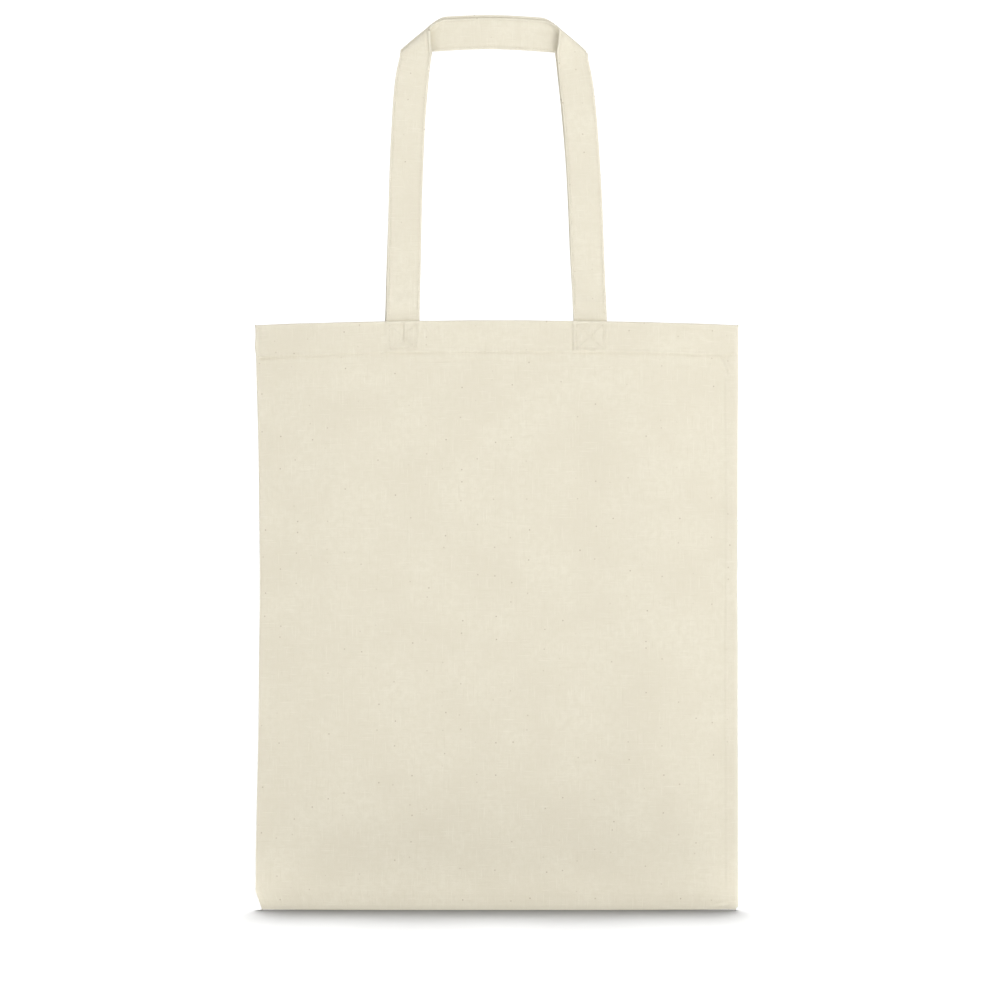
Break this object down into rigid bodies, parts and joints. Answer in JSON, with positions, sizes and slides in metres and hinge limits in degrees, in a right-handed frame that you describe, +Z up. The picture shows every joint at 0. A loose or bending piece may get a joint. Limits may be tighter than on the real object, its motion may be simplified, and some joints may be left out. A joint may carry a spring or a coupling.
{
  "type": "canvas tote bag",
  "caption": "Flat unlined canvas tote bag with a stitched hem and two long carrying handles that swing down over its front and back.",
  "frame": {"origin": "middle of the bottom edge, on the plane midway between the front and back panels", "axes": "+X to the right along the bottom edge seen from the front, +Y from the front panel to the back panel, +Z up towards the handles"},
  "size_m": [0.36, 0.0184, 0.6654],
  "materials": {
    "canvas": "natural unbleached plain-weave cotton, matte",
    "hem_canvas": "the same canvas folded double, matte",
    "strap_canvas": "the same canvas folded to a flat strap, matte",
    "sewing_thread": "spun thread, ecru",
    "overlock_thread": "spun thread, ecru, looped over the cut edges"
  },
  "bodies": {
    "bag": {"back_hem": "hem_canvas", "back_hem_thread": "sewing_thread", "back_left_box_thread": "sewing_thread", "back_left_strap_end": "strap_canvas", "back_panel": "canvas", "back_right_box_thread": "sewing_thread", "back_right_strap_end": "strap_canvas", "bottom_overlock_thread": "overlock_thread", "bottom_seam_allowance": "canvas", "bottom_seam_thread": "sewing_thread", "front_hem": "hem_canvas", "front_hem_thread": "sewing_thread", "front_left_box_thread": "sewing_thread", "front_left_strap_end": "strap_canvas", "front_panel": "canvas", "front_right_box_thread": "sewing_thread", "front_right_strap_end": "strap_canvas", "left_overlock_thread": "overlock_thread", "left_seam_allowance": "canvas", "left_seam_thread": "sewing_thread", "right_overlock_thread": "overlock_thread", "right_seam_allowance": "canvas", "right_seam_thread": "sewing_thread"},
    "front_handle": {"front_strap": "strap_canvas", "front_strap_thread": "sewing_thread"},
    "back_handle": {"back_strap": "strap_canvas", "back_strap_thread": "sewing_thread"}
  },
  "joints": [
    {"name": "front_handle_swing", "type": "hinge", "parent": "bag", "child": "front_handle", "pos_m": [0, -0.0086, 0.4401], "axis": [1, 0, 0], "range_deg": [0, 178]},
    {"name": "back_handle_swing", "type": "hinge", "parent": "bag", "child": "back_handle", "pos_m": [0, 0.0086, 0.4401], "axis": [-1, 0, 0], "range_deg": [0, 178]}
  ]
}
